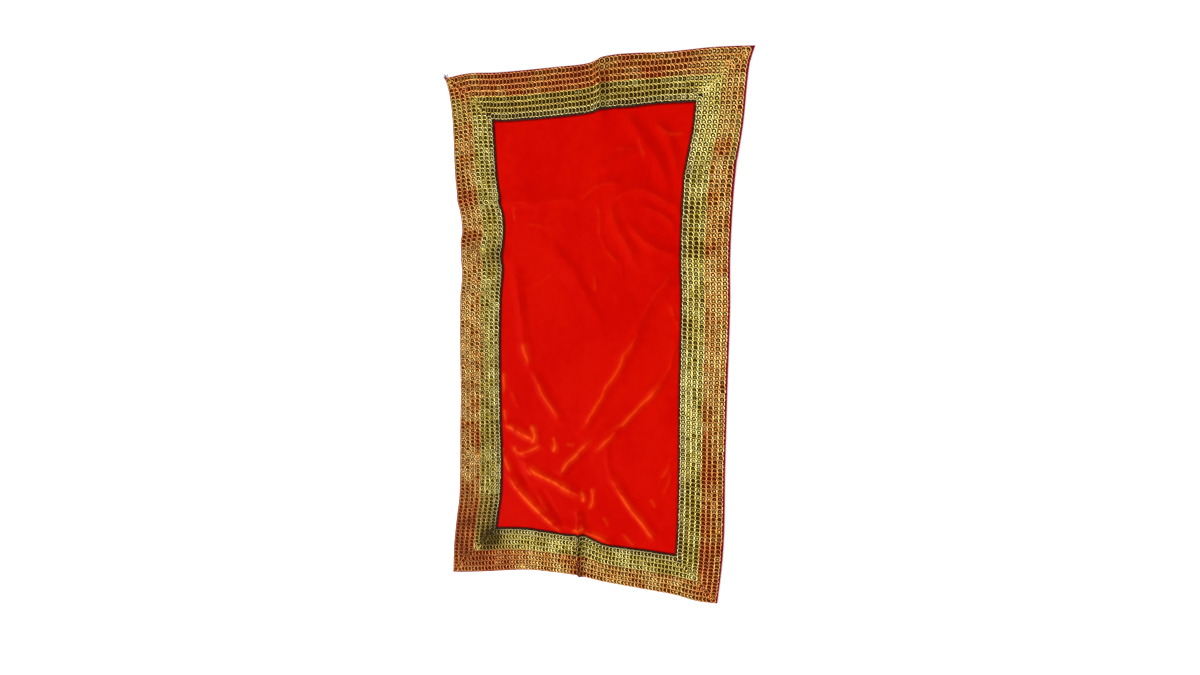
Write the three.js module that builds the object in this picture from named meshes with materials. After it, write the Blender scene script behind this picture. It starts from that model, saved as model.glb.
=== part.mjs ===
// A velvet altar cloth with a sequin border, lying flat on a table, in millimetres.
// +X runs to the right of the cloth, +Y to its far end and +Z up, with the table at z = 0.

import * as THREE from "three";

// The cloth as it was cut
const CLOTH_WIDTH = 365;
const CLOTH_LENGTH = 610;

// The border: a line of bare hem, then two sequin trims side by side
const HEM_SHOWING = 2;
const TRIM_WIDTH = 27;
const ROWS_IN_A_TRIM = 4;
const BORDER = HEM_SHOWING + 2 * TRIM_WIDTH;

// Thicknesses
const VELVET = 1.4;
const HEM = 2.4;
const HEM_EDGE = 1.8;
const TRIM_NET = 1.2;
const SEQUIN_RISE = 1.0;

// Free space between a trim and the velvet below it, and between two trims
const GAP_UNDER_TRIM = 0.35;
const GAP_BESIDE_TRIM = 0.3;

// How finely the sheets are divided
const COLUMNS_INSIDE = 24;
const ROWS_INSIDE = 44;
const STEPS_AT_A_MITRE = 4;

// Where the corners of the lying cloth are, from its middle
const CORNERS = {
  nearLeft: { x: -184.4, y: -314.3 },
  nearRight: { x: 161.9, y: -290.6 },
  farLeft: { x: -183.5, y: 307.0 },
  farRight: { x: 184.5, y: 309.6 },
};

// Each side, by its distance along the cut cloth: how far the edge has drawn in from
// the straight line between its corners, and how wide the border lies there
const LEFT_SIDE = [
  { at: 0, drawn: 0, border: 59.5 },
  { at: 36, drawn: 2, border: 60 },
  { at: 75, drawn: 7, border: 60 },
  { at: 100, drawn: 11, border: 60 },
  { at: 145, drawn: 13, border: 60 },
  { at: 190, drawn: 14, border: 58 },
  { at: 232, drawn: 15.5, border: 56 },
  { at: 290, drawn: 15.5, border: 56 },
  { at: 350, drawn: 17, border: 56.5 },
  { at: 378, drawn: 20, border: 56.5 },
  { at: 398, drawn: 18.8, border: 57.5 },
  { at: 433, drawn: 21, border: 57.5 },
  { at: 486, drawn: 13, border: 56.5 },
  { at: 556, drawn: 10, border: 54.5 },
  { at: 590, drawn: 6, border: 53.5 },
  { at: 610, drawn: 0, border: 53.5 },
];
const RIGHT_SIDE = [
  { at: 0, drawn: 0, border: 50 },
  { at: 50, drawn: -2.2, border: 52 },
  { at: 90, drawn: -2.2, border: 52 },
  { at: 158, drawn: 1.2, border: 51 },
  { at: 243, drawn: 4.5, border: 52 },
  { at: 342, drawn: 7.8, border: 52.5 },
  { at: 391, drawn: 11, border: 53 },
  { at: 450, drawn: 12, border: 53.5 },
  { at: 485, drawn: 11, border: 53 },
  { at: 531, drawn: 6.8, border: 51 },
  { at: 591, drawn: 4.5, border: 51.5 },
  { at: 610, drawn: 0, border: 51.5 },
];
const FAR_SIDE = [
  { at: 0, drawn: 0, border: 54 },
  { at: 35, drawn: -2.9, border: 54 },
  { at: 75, drawn: -0.4, border: 54.5 },
  { at: 150, drawn: 0.4, border: 53.5 },
  { at: 183, drawn: 0, border: 52.5 },
  { at: 208, drawn: -5.8, border: 55 },
  { at: 234, drawn: -5.5, border: 55 },
  { at: 266, drawn: -3.2, border: 51.5 },
  { at: 320, drawn: -2.8, border: 53 },
  { at: 365, drawn: 0, border: 53 },
];
const NEAR_SIDE = [
  { at: 0, drawn: 0, border: 58 },
  { at: 16, drawn: 1.7, border: 58 },
  { at: 42, drawn: 5.5, border: 57.5 },
  { at: 66, drawn: 9.4, border: 56.5 },
  { at: 103, drawn: 14.3, border: 53.5 },
  { at: 126, drawn: 15.5, border: 51 },
  { at: 171, drawn: 15.1, border: 49.5 },
  { at: 186, drawn: 14.4, border: 52 },
  { at: 215, drawn: 10.9, border: 46 },
  { at: 273, drawn: 7.2, border: 46.5 },
  { at: 309, drawn: 4.9, border: 46.5 },
  { at: 339, drawn: 0.4, border: 47.5 },
  { at: 365, drawn: 0, border: 50 },
];

// The main folds, as ridges that run from one point by another to a third. Seen along
// that way, left and right are how far the ridge spreads to each side of its crest.
const FOLDS = [
  // The arc near the left corner, and the fold above it
  { from: [-113, -146], by: [-84, -197], to: [-28, -237], height: 5.5, left: 17, right: 12 },
  { from: [-86, -152], by: [-50, -173], to: [0, -192], height: 4, left: 13, right: 11 },
  // The foot of the long fold, and the fold itself up to the right side
  { from: [-33, -170], by: [-18, -143], to: [20, -116], height: 5.5, left: 13, right: 13 },
  { from: [8, -139], by: [66, -88], to: [108, -4], height: 5, left: 16, right: 11 },
  // The long fold that starts in the middle
  { from: [-4, -109], by: [43, -24], to: [108, 82], height: 4.5, left: 12, right: 13 },
  // The fold on the left, and the slope in the middle
  { from: [-90, 72], by: [-77, -10], to: [-34, -96], height: 4, left: 14, right: 12 },
  { from: [-46, 112], by: [-4, 69], to: [27, 18], height: 3.5, left: 11, right: 22 },
  // The hooked fold near the far right corner
  { from: [48, 247], by: [86, 209], to: [97, 164], height: 5, left: 11, right: 18 },
  // The crease from packing, in three parts from left to right
  { from: [-108, 158], by: [-60, 157], to: [-4, 160], height: 3.5, left: 22, right: 11 },
  { from: [-4, 161], by: [16, 172], to: [44, 176], height: 4, left: 16, right: 11 },
  { from: [43, 167], by: [80, 166], to: [112, 141], height: 4, left: 16, right: 11 },
  // Two folds that fan out from it to the right side
  { from: [29, 152], by: [48, 114], to: [70, 86], height: 4, left: 12, right: 12 },
  { from: [44, 146], by: [76, 125], to: [112, 100], height: 3.5, left: 12, right: 12 },
  // The fold above it, and one by the far right corner
  { from: [18, 189], by: [42, 197], to: [72, 209], height: 4.5, left: 13, right: 11 },
  { from: [80, 240], by: [99, 219], to: [105, 188], height: 3.5, left: 12, right: 12 },
  // Small folds: near the right corner, by the left border and by the near border
  { from: [27, -140], by: [50, -184], to: [93, -231], height: 3.5, left: 14, right: 11 },
  { from: [-108, -116], by: [-86, -119], to: [-58, -131], height: 3, left: 12, right: 12 },
  { from: [-34, -229], by: [0, -232], to: [36, -244], height: 3, left: 12, right: 12 },
  // The tuck across the near border
  { from: [-7, -196], by: [-6, -240], to: [-4, -296], height: 8, left: 13, right: 13 },
  // Creases across the far border, twice across the left one, and across the right one
  { from: [16, 244], by: [17, 280], to: [19, 322], height: 4.5, left: 13, right: 13 },
  { from: [-182, 163], by: [-140, 160], to: [-98, 155], height: 3, left: 13, right: 13 },
  { from: [-176, 114], by: [-136, 106], to: [-98, 90], height: 4, left: 14, right: 14 },
  { from: [100, 180], by: [140, 188], to: [182, 198], height: 3, left: 13, right: 13 },
];

// A fold is low at its ends and reaches its full height after a part of its length
const FOLD_ENDS = { start: 0.35, length: 0.3 };
const CREST_STEPS = 12;

// The loose velvet inside the border stands in low swells between its folds
const SWELL = { height: 1.8, lengthX: 118, lengthY: 146, fadeIn: 40 };

function mix(low, high, part) {
  return low + (high - low) * part;
}

function easeIn(part) {
  const t = Math.min(Math.max(part, 0), 1);
  return t * t * (3 - 2 * t);
}

// Reads one column of a side's table at a distance along it, rounded between its rows
function read(side, at, column) {
  const last = side.length - 1;
  let row = 0;
  while (row < last - 1 && side[row + 1].at < at) row += 1;
  const slope = (i) => {
    const before = side[Math.max(i - 1, 0)];
    const after = side[Math.min(i + 1, last)];
    return (after[column] - before[column]) / (after.at - before.at);
  };
  const start = side[row];
  const end = side[row + 1];
  const step = end.at - start.at;
  const t = (at - start.at) / step;
  const startPull = (t - 1) ** 2 * t * step * slope(row);
  const endPull = (t - 1) * t ** 2 * step * slope(row + 1);
  return mix(start[column], end[column], easeIn(t)) + startPull + endPull;
}

// One coordinate of a point: the border keeps its own width, and the middle takes the rest
function spread(at, cut, low, high, lowBorder, highBorder) {
  if (at <= BORDER) return low + (at / BORDER) * lowBorder;
  if (at >= cut - BORDER) return high - ((cut - at) / BORDER) * highBorder;
  const part = (at - BORDER) / (cut - 2 * BORDER);
  return mix(low + lowBorder, high - highBorder, part);
}

// Where a point of the cut cloth comes to lie, seen from above
function lie(across, along) {
  const partUp = along / CLOTH_LENGTH;
  const partAcross = across / CLOTH_WIDTH;
  const { nearLeft, nearRight, farLeft, farRight } = CORNERS;
  const left = mix(nearLeft.x, farLeft.x, partUp) + read(LEFT_SIDE, along, "drawn");
  const right = mix(nearRight.x, farRight.x, partUp) - read(RIGHT_SIDE, along, "drawn");
  const near = mix(nearLeft.y, nearRight.y, partAcross) + read(NEAR_SIDE, across, "drawn");
  const far = mix(farLeft.y, farRight.y, partAcross) - read(FAR_SIDE, across, "drawn");
  const leftBorder = read(LEFT_SIDE, along, "border");
  const rightBorder = read(RIGHT_SIDE, along, "border");
  const nearBorder = read(NEAR_SIDE, across, "border");
  const farBorder = read(FAR_SIDE, across, "border");
  return {
    x: spread(across, CLOTH_WIDTH, left, right, leftBorder, rightBorder),
    y: spread(along, CLOTH_LENGTH, near, far, nearBorder, farBorder),
  };
}

// A fold's crest as a curve through its three points
function crestOf(fold) {
  const [start, middle, end] = [fold.from, fold.by, fold.to].map(([x, y]) => new THREE.Vector2(x, y));
  const pull = middle.clone().multiplyScalar(2).sub(start.clone().add(end).multiplyScalar(0.5));
  return new THREE.QuadraticBezierCurve(start, pull, end).getPoints(CREST_STEPS);
}

const CRESTS = FOLDS.map((fold) => ({ fold, points: crestOf(fold) }));

// The height of one fold's ridge at a point, highest on its crest and lower at its ends
function ridge({ fold, points }, x, y) {
  const here = new THREE.Vector2(x, y);
  const segments = points.length - 1;
  let nearest = { distance: Infinity };
  for (let i = 0; i < segments; i += 1) {
    const way = points[i + 1].clone().sub(points[i]);
    const offset = here.clone().sub(points[i]);
    const part = Math.min(Math.max(offset.dot(way) / way.lengthSq(), 0), 1);
    const distance = offset.distanceTo(way.clone().multiplyScalar(part));
    if (distance < nearest.distance) {
      nearest = { distance, side: way.cross(offset), part: (i + part) / segments };
    }
  }
  const reach = nearest.side > 0 ? fold.left : fold.right;
  const off = Math.min(nearest.distance / reach, 1);
  const rise = (part) => easeIn(FOLD_ENDS.start + part / FOLD_ENDS.length);
  const ends = rise(nearest.part) * rise(1 - nearest.part);
  return fold.height * (1 - off * off) ** 2 * ends;
}

function distanceIn(across, along) {
  return Math.min(across, CLOTH_WIDTH - across, along, CLOTH_LENGTH - along);
}

// How far the underside stands off the table
function liftOff(across, along) {
  const { x, y } = lie(across, along);
  const folds = CRESTS.reduce((sum, crest) => sum + ridge(crest, x, y), 0);
  const inside = easeIn((distanceIn(across, along) - BORDER) / SWELL.fadeIn);
  const waves = Math.cos((2 * Math.PI * x) / SWELL.lengthX) * Math.cos((2 * Math.PI * y) / SWELL.lengthY);
  return folds + SWELL.height * inside * (0.5 - 0.5 * waves);
}

// The hem is turned under the outer trim, so the cloth is double there
function thickness(across, along) {
  const inward = distanceIn(across, along);
  if (inward < HEM_SHOWING) return mix(HEM_EDGE, HEM, inward / HEM_SHOWING);
  const halfTrim = HEM_SHOWING + TRIM_WIDTH / 2;
  return mix(HEM, VELVET, easeIn((inward - halfTrim) / (TRIM_WIDTH / 2)));
}

// The lines that divide the velvet: across the border, over the middle, and back
function divide(cut, inside) {
  const halfTrims = [0, 0.5, 1, 1.5, 2].map((trims) => HEM_SHOWING + trims * TRIM_WIDTH);
  const lines = [0, ...halfTrims];
  const step = (cut - 2 * BORDER) / inside;
  for (let i = 1; i < inside; i += 1) lines.push(BORDER + i * step);
  return [...lines, ...halfTrims.map((line) => cut - line).reverse(), cut];
}

const COLUMNS = divide(CLOTH_WIDTH, COLUMNS_INSIDE);
const ROWS = divide(CLOTH_LENGTH, ROWS_INSIDE);

// A point keeps its place on the cut cloth beside its place in space
function velvetPoint(across, along, onTop) {
  const { x, y } = lie(across, along);
  const z = liftOff(across, along) + (onTop ? thickness(across, along) : 0);
  return { across, along, position: new THREE.Vector3(x, y, z) };
}

const VELVET_TOP = ROWS.map((along) => COLUMNS.map((across) => velvetPoint(across, along, true)));
const VELVET_UNDERSIDE = ROWS.map((along) => COLUMNS.map((across) => velvetPoint(across, along, false)));

// A cell of the border is split into two facets along the way of the nearest mitre
function splitsToTheRight(across, along) {
  return across < CLOTH_WIDTH / 2 === along < CLOTH_LENGTH / 2;
}

// Inside the border a cell is split along the way that the folds run there instead
function splitsTowardsC(points, row, column) {
  const [a, b] = points[row].slice(column, column + 2);
  const [d, c] = points[row + 1].slice(column, column + 2);
  const [across, along] = [(a.across + c.across) / 2, (a.along + c.along) / 2];
  if (distanceIn(across, along) < BORDER) return splitsToTheRight(across, along);
  const rise = (from, to) => Math.abs(from.position.z - to.position.z);
  return rise(a, c) < rise(b, d);
}

// The line before a place in a list of dividing lines, and how far the place is past it
function place(lines, at) {
  let index = 0;
  while (index < lines.length - 2 && lines[index + 1] <= at) index += 1;
  return { index, part: (at - lines[index]) / (lines[index + 1] - lines[index]) };
}

// A point on the velvet's upper side, so that a trim follows the very facets below it
function onVelvet(across, along, above) {
  const column = place(COLUMNS, across);
  const row = place(ROWS, along);
  const cell = [VELVET_TOP[row.index], VELVET_TOP[row.index + 1]];
  const [nearLeft, nearRight] = cell[0].slice(column.index, column.index + 2).map((point) => point.position);
  const [farLeft, farRight] = cell[1].slice(column.index, column.index + 2).map((point) => point.position);
  const [s, t] = [column.part, row.part];
  let shares = s > t ? [1 - s, s - t, t, 0] : [1 - t, 0, s, t - s];
  if (!splitsToTheRight(across, along)) {
    shares = s + t < 1 ? [1 - s - t, s, 0, t] : [0, 1 - t, s + t - 1, 1 - s];
  }
  const position = new THREE.Vector3(0, 0, above);
  const corners = [nearLeft, nearRight, farRight, farLeft];
  corners.forEach((corner, i) => position.addScaledVector(corner, shares[i]));
  return { across, along, position };
}

// A closed sheet from two grids of points with the same outline, rows running to +Y
function closedSheet(top, underside) {
  const positions = [];
  const faces = [];
  const store = (grid) =>
    grid.map((line) => line.map(({ position }) => positions.push(...position.toArray()) / 3 - 1));
  const upper = store(top);
  const lower = store(underside);

  const tile = (points, grid, facesUp) => {
    for (let row = 0; row < grid.length - 1; row += 1) {
      for (let column = 0; column < grid[0].length - 1; column += 1) {
        const [a, b] = [grid[row][column], grid[row][column + 1]];
        const [d, c] = [grid[row + 1][column], grid[row + 1][column + 1]];
        const pair = splitsTowardsC(points, row, column) ? [a, b, c, a, c, d] : [a, b, d, b, c, d];
        faces.push(...(facesUp ? pair : pair.reverse()));
      }
    }
  };
  tile(top, upper, true);
  tile(underside, lower, false);

  // A wall between an upper and a lower edge, which may have different numbers of points
  const wall = (upperEdge, lowerEdge) => {
    let u = 0;
    let l = 0;
    while (u < upperEdge.length - 1 || l < lowerEdge.length - 1) {
      const nextUpper = (u + 1) / (upperEdge.length - 1);
      const nextLower = (l + 1) / (lowerEdge.length - 1);
      if (nextLower <= nextUpper) {
        faces.push(lowerEdge[l], lowerEdge[l + 1], upperEdge[u]);
        l += 1;
      } else {
        faces.push(lowerEdge[l], upperEdge[u + 1], upperEdge[u]);
        u += 1;
      }
    }
  };
  const edges = (grid) => ({
    near: grid[0],
    right: grid.map((line) => line[line.length - 1]),
    far: [...grid[grid.length - 1]].reverse(),
    left: grid.map((line) => line[0]).reverse(),
  });
  const upperEdges = edges(upper);
  const lowerEdges = edges(lower);
  for (const side of ["near", "right", "far", "left"]) wall(upperEdges[side], lowerEdges[side]);

  const geometry = new THREE.BufferGeometry();
  geometry.setAttribute("position", new THREE.Float32BufferAttribute(positions, 3));
  geometry.setIndex(faces);
  geometry.computeVertexNormals();
  return geometry;
}

// The places along a trim at one distance in: it starts and ends on the mitre's diagonal,
// and from the first line past the corner it keeps the velvet's own lines
function stations(lines, cut, inward) {
  const start = inward + GAP_BESIDE_TRIM / Math.SQRT2;
  const inside = lines.filter((line) => line > BORDER && line < cut - BORDER);
  const corner = [];
  for (let i = 0; i < STEPS_AT_A_MITRE; i += 1) corner.push(mix(start, inside[0], i / STEPS_AT_A_MITRE));
  return [...corner, ...inside, ...corner.map((station) => cut - station).reverse()];
}

// One length of trim on one side, between two distances in from the cloth's edge
function trimGeometry(side, inwardFrom, inwardTo) {
  const lines = (count) => {
    const list = [];
    for (let i = 0; i <= count; i += 1) list.push(mix(inwardFrom, inwardTo, i / count));
    return list;
  };
  const grid = (count, heightAt) => {
    const rows = lines(count).map((inward, i) => {
      const sideways = side === "left" || side === "right";
      const list = stations(sideways ? ROWS : COLUMNS, sideways ? CLOTH_LENGTH : CLOTH_WIDTH, inward);
      return list.map((station) => {
        if (side === "near") return onVelvet(station, inward, heightAt(i));
        if (side === "far") return onVelvet(station, CLOTH_LENGTH - inward, heightAt(i));
        if (side === "left") return onVelvet(inward, station, heightAt(i));
        return onVelvet(CLOTH_WIDTH - inward, station, heightAt(i));
      });
    });
    // The grid's rows run to +Y and its columns to +X, whichever side the trim is on
    if (side === "near") return rows;
    if (side === "far") return rows.reverse();
    const turned = rows[0].map((_, station) => rows.map((row) => row[station]));
    return side === "left" ? turned : turned.map((row) => row.reverse());
  };
  const crown = (i) => GAP_UNDER_TRIM + TRIM_NET + (i % 2) * SEQUIN_RISE;
  return closedSheet(grid(2 * ROWS_IN_A_TRIM, crown), grid(2, () => GAP_UNDER_TRIM));
}

const cloth = new THREE.Group();
cloth.name = "altar_cloth";

function add(name, geometry, look) {
  const mesh = new THREE.Mesh(geometry, new THREE.MeshStandardMaterial(look));
  mesh.name = name;
  cloth.add(mesh);
}

const VELVET_LOOK = { color: 0xd60c02, roughness: 0.9, metalness: 0 };
const COPPER_LOOK = { color: 0xb9743a, roughness: 0.35, metalness: 0.85 };
const PALE_GOLD_LOOK = { color: 0xa8955a, roughness: 0.35, metalness: 0.85 };

add("velvet_panel", closedSheet(VELVET_TOP, VELVET_UNDERSIDE), VELVET_LOOK);
for (const side of ["near", "far", "left", "right"]) {
  const seam = HEM_SHOWING + TRIM_WIDTH;
  const outer = trimGeometry(side, HEM_SHOWING, seam - GAP_BESIDE_TRIM / 2);
  const inner = trimGeometry(side, seam + GAP_BESIDE_TRIM / 2, BORDER);
  add(`outer_trim_${side}`, outer, COPPER_LOOK);
  add(`inner_trim_${side}`, inner, PALE_GOLD_LOOK);
}

// The origin is under the middle of the cloth's box, on the table
const box = new THREE.Box3().setFromObject(cloth);
const middle = box.getCenter(new THREE.Vector3());
for (const mesh of cloth.children) mesh.position.set(-middle.x, -middle.y, -box.min.z);

export default cloth;
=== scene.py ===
# A red velvet altar cloth with a sequin border, lying flat on a pale table.
# Metres, +X across the cloth, +Y to its far end, +Z up from the table.

import math
from collections import namedtuple

import bpy
import numpy as np
from mathutils import Matrix, Vector


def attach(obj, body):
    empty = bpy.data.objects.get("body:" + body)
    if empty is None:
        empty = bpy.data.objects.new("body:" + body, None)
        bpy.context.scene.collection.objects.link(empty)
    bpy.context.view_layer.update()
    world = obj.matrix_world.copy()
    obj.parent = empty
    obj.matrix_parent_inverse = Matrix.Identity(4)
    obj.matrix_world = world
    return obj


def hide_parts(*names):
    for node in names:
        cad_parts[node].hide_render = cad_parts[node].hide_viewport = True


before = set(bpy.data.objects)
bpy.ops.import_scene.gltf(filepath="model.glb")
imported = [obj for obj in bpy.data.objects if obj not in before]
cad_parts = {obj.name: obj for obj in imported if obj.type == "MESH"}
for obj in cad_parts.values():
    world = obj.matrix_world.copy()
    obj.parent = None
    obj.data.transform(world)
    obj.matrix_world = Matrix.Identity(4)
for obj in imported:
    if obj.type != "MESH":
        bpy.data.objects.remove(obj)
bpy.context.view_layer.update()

MM = 0.001


# The camera
# It looks down steeply from beyond the right side, a little past the cloth's middle,
# through a wide lens, so the left side is further off and looks narrower.

CAMERA_PLACE = Vector((306.6, 97.3, 745.7)) * MM
CAMERA_TARGET = Vector((18.7, 3.4, 2.0)) * MM
CAMERA_ROLL = math.radians(0.41)
LENS = 21
SENSOR_WIDTH = 36
NEAREST_SEEN = 10 * MM

camera_data = bpy.data.cameras.new("camera")
camera_data.lens = LENS
camera_data.sensor_width = SENSOR_WIDTH
camera_data.clip_start = NEAREST_SEEN
camera = bpy.data.objects.new("camera", camera_data)
bpy.context.scene.collection.objects.link(camera)
bpy.context.scene.camera = camera

view_way = (CAMERA_TARGET - CAMERA_PLACE).normalized()
picture_right = view_way.cross(Vector((0, 1, 0))).normalized()
picture_up = picture_right.cross(view_way)
turn = Matrix((picture_right, picture_up, -view_way)).transposed().to_4x4()
camera.matrix_world = Matrix.Translation(CAMERA_PLACE) @ turn @ Matrix.Rotation(CAMERA_ROLL, 4, "Z")


# The velvet panel
# One rectangle of red velvet with a short pile, its hem turned under on all four sides.
# It lies loose inside the heavy border, so it is full of soft creases.

CLOTH_WIDTH = 365 * MM
CLOTH_LENGTH = 610 * MM
HEM_SHOWING = 2 * MM
TRIM_WIDTH = 26.6 * MM
BORDER = 56 * MM

# The cloth is single inside and pressed double at its hem, which is round and thin at its
# rim and stands up in a low roll beside the trim
VELVET = 1.4 * MM
HEM = 2.4 * MM
HEM_TURNED = HEM_SHOWING + TRIM_WIDTH / 2
HEM_ROUND = 2.2 * MM
HEM_RIM = 0.4
HEM_ROLL = 0.8 * MM
HEM_ROLL_MIDDLE = 1.0 * MM
HEM_ROLL_HALF = 1.2 * MM

# Where the corners of the lying cloth are, from its middle, in millimetres
CORNERS = {
    "near left": (-184.4, -314.3),
    "near right": (161.9, -290.6),
    "far left": (-183.5, 307.0),
    "far right": (184.5, 309.6),
}

# Each side, by its distance along the cut cloth in millimetres: how far the edge has drawn
# in from the line between its corners, and how wide the border lies there
Edge = namedtuple("Edge", "at drawn border")
SIDES = {
    "left": [
        Edge(0, 0, 59.5),
        Edge(36, 2, 60),
        Edge(75, 7, 60),
        Edge(100, 11, 60),
        Edge(145, 13, 60),
        Edge(190, 14, 58),
        Edge(232, 15.5, 56),
        Edge(290, 15.5, 56),
        Edge(350, 17, 56.5),
        Edge(378, 20, 56.5),
        Edge(398, 18.8, 57.5),
        Edge(433, 21, 57.5),
        Edge(486, 13, 56.5),
        Edge(556, 10, 54.5),
        Edge(590, 6, 53.5),
        Edge(610, 0, 53.5),
    ],
    "right": [
        Edge(0, 0, 50),
        Edge(50, -2.2, 52),
        Edge(90, -2.2, 52),
        Edge(158, 1.2, 51),
        Edge(243, 4.5, 52),
        Edge(342, 7.8, 52.5),
        Edge(391, 11, 53),
        Edge(450, 12, 53.5),
        Edge(485, 11, 53),
        Edge(531, 6.8, 51),
        Edge(591, 4.5, 51.5),
        Edge(610, 0, 51.5),
    ],
    "far": [
        Edge(0, 0, 54),
        Edge(35, -2.9, 54),
        Edge(75, -0.4, 54.5),
        Edge(150, 0.4, 53.5),
        Edge(183, 0, 52.5),
        Edge(208, -5.8, 55),
        Edge(234, -5.5, 55),
        Edge(266, -3.2, 51.5),
        Edge(320, -2.8, 53),
        Edge(365, 0, 53),
    ],
    "near": [
        Edge(0, 0, 58),
        Edge(16, 1.7, 58),
        Edge(42, 5.5, 57.5),
        Edge(66, 9.4, 56.5),
        Edge(103, 14.3, 53.5),
        Edge(126, 15.5, 51),
        Edge(171, 15.1, 49.5),
        Edge(186, 14.4, 52),
        Edge(215, 10.9, 46),
        Edge(273, 7.2, 46.5),
        Edge(309, 4.9, 46.5),
        Edge(339, 0.4, 47.5),
        Edge(365, 0, 50),
    ],
}

# Each fold is a ridge from one point by another to a third, in millimetres. Seen along that
# way, left and right are how far it spreads. Sharp is its share of a sharp crest, and the last
# is how strongly a painted highlight lies along its crest, which also stands for the pile crushed there.
Fold = namedtuple("Fold", "start by end height left right sharp crushed")

# The main folds, which the solid has too
FOLDS = [
    Fold((-103, -172), (-66, -208), (-26, -237), 5.0, 16, 9, 0.5, 1),
    Fold((-77, -157), (-43, -173), (-3, -187), 3.6, 12, 10, 0.5, 1),
    Fold((-31, -166), (-17, -145), (14, -115), 4.5, 13, 11, 0.4, 0.7),
    Fold((10, -136), (55, -88), (96, -43), 4.2, 15, 9, 0.5, 0.55),
    Fold((76, -58), (98, -33), (109, 5), 2.6, 8, 9, 0.4, 0.09),
    Fold((-4, -108), (29, -55), (67, 15), 4.0, 12, 12, 0.3, 0.45),
    Fold((58, 9), (80, 45), (107, 82), 4.2, 9, 13, 0.3, 0.06),
    Fold((-89, 82), (-82, 30), (-73, -36), 3.0, 11, 12, 0.3, 0),
    Fold((-68, -38), (-51, -71), (-31, -98), 3.4, 14, 9, 0.4, 0.5),
    Fold((-42, 110), (-10, 72), (20, 20), 2.8, 9, 22, 0.3, 0),
    Fold((46, 249), (76, 214), (98, 168), 4.6, 11, 16, 0.4, 0),
    Fold((-108, 158), (-60, 157), (-4, 159), 3.2, 24, 9, 0.5, 0.03),
    Fold((-5, 158), (14, 172), (44, 176), 3.6, 17, 9, 0.5, 0.07),
    Fold((33, 157), (70, 167), (111, 142), 3.6, 15, 9, 0.5, 0.07),
    Fold((29, 157), (41, 123), (65, 86), 3.4, 10, 10, 0.4, 0.05),
    Fold((50, 133), (77, 109), (110, 95), 3.4, 13, 9, 0.4, 0.05),
    Fold((18, 190), (44, 202), (72, 212), 4.0, 13, 12, 0.2, 0),
    Fold((80, 240), (98, 216), (105, 186), 3.2, 10, 11, 0.3, 0.03),
    Fold((32, -157), (62, -198), (92, -229), 3.6, 14, 8, 0.4, 0.8),
    Fold((-107, -113), (-87, -116), (-62, -128), 3.2, 15, 7, 0.5, 0.9),
    Fold((-34, -228), (0, -231), (38, -244), 2.8, 11, 10, 0.4, 0.09),
    Fold((-7, -205), (-6, -240), (-4, -300), 7.0, 7, 6, 0.8, 0),
    Fold((16, 244), (17, 280), (19, 322), 4.5, 11, 11, 0.4, 0),
    Fold((-182, 163), (-140, 160), (-98, 155), 2.4, 13, 13, 0.2, 0),
    Fold((-176, 114), (-136, 106), (-98, 90), 3.0, 14, 14, 0.2, 0),
    Fold((100, 180), (140, 188), (182, 198), 2.4, 13, 13, 0.2, 0),
]

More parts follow.
